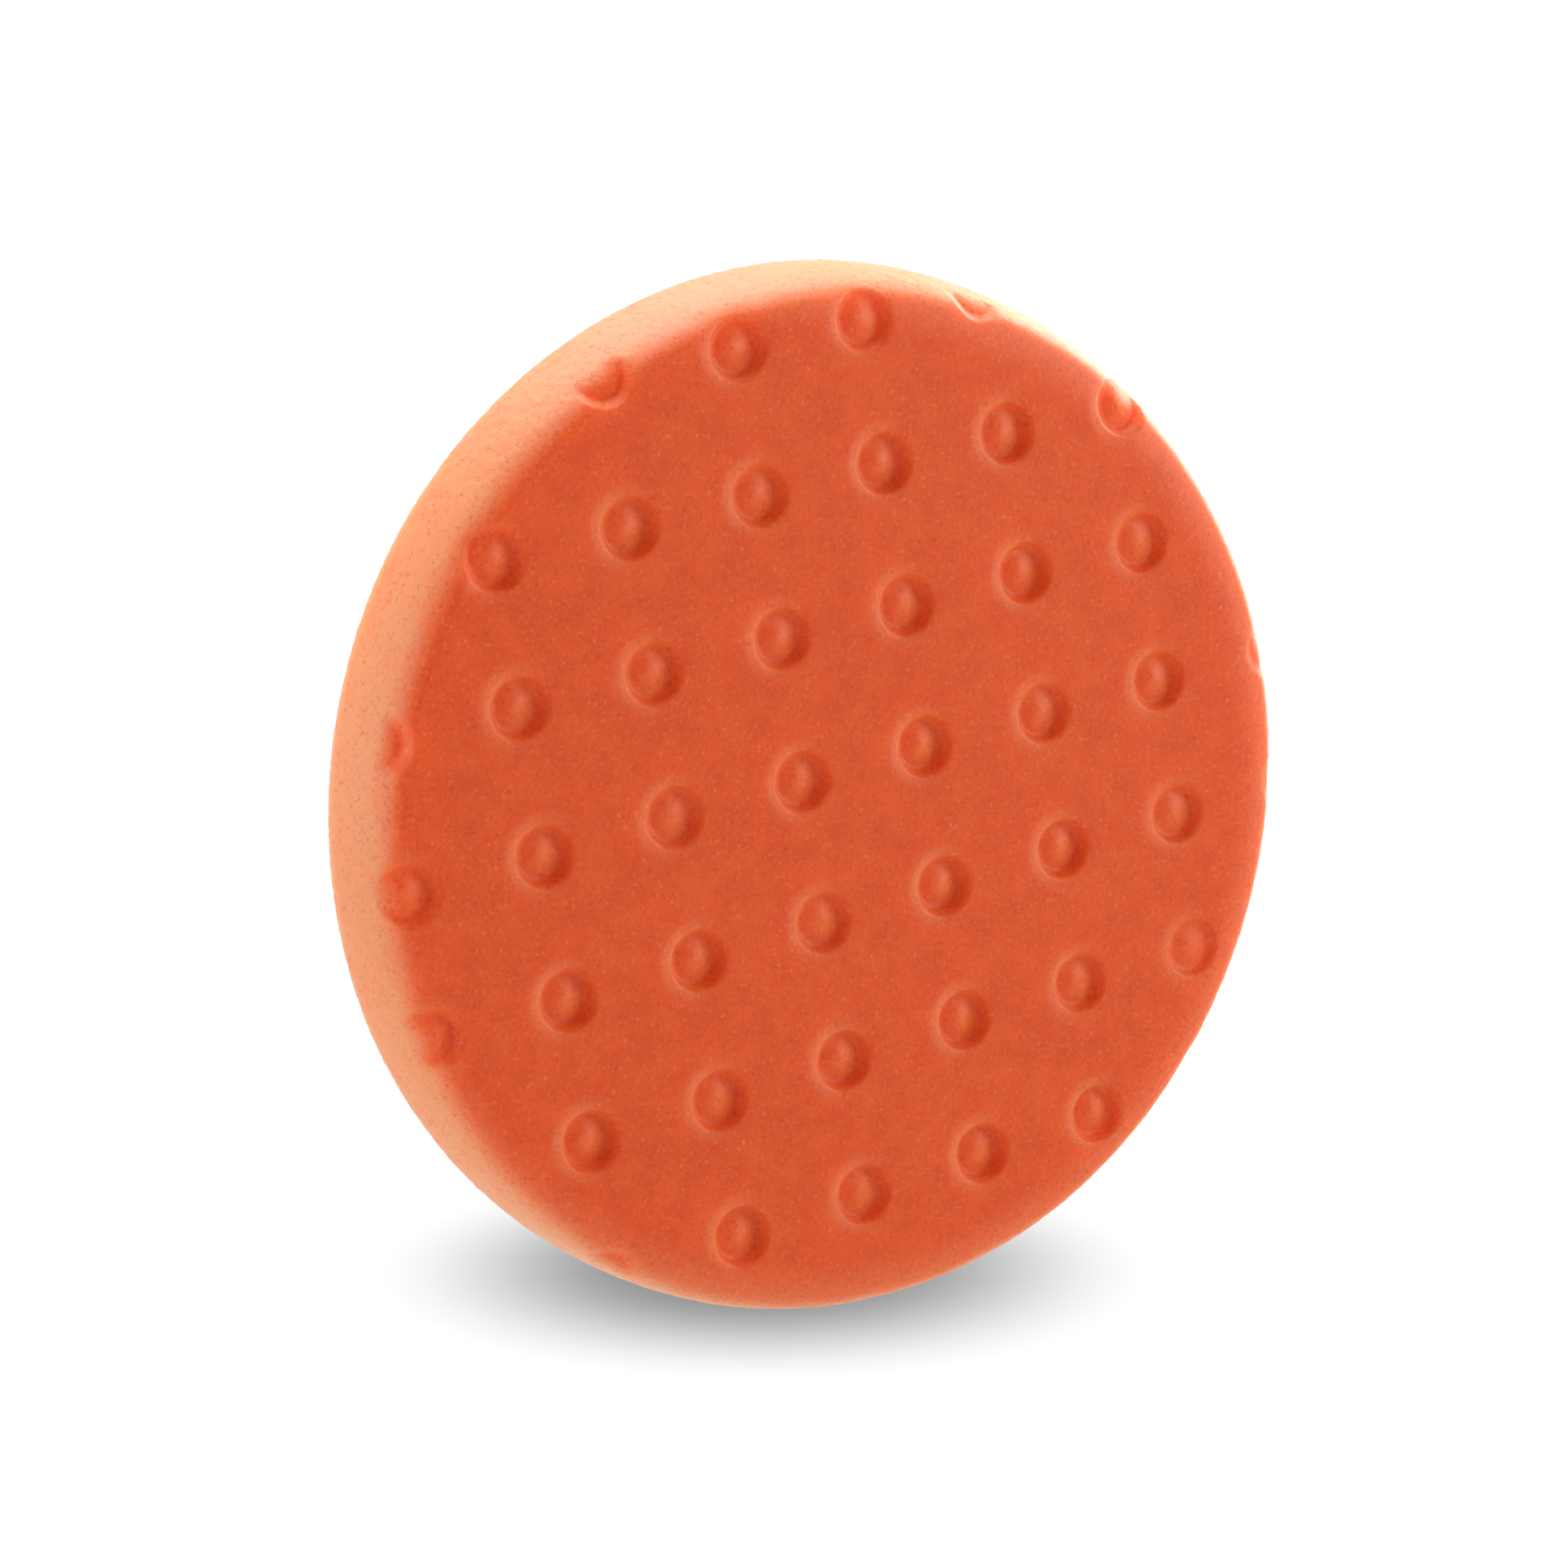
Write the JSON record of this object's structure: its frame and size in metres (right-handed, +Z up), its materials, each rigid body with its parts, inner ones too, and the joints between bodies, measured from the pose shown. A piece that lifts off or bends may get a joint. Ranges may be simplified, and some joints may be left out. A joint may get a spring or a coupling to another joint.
{
  "type": "polishing pad",
  "caption": "Round foam polishing pad with punched pockets in its work face and a loop back that presses onto a polisher's hook plate.",
  "frame": {"origin": "centre of the loop face, where the pad meets the backing plate", "axes": "+Y out of the loop face along the pad's turning axis, -Y out of the work face, +Z up with the pad standing on its rim, +X to the right seen from the work face"},
  "size_m": [0.139, 0.0222, 0.139],
  "materials": {
    "foam": "matt open-cell polyurethane foam, fine pores, soft",
    "adhesive": "satin milky hot-melt film",
    "ground_cloth": "matt knitted nylon",
    "loops": "matt brushed nylon loop pile"
  },
  "bodies": {
    "root": {"foam_body": "foam", "adhesive_film": "adhesive", "backing_cloth": "ground_cloth", "loop_pile": "loops"}
  },
  "joints": []
}
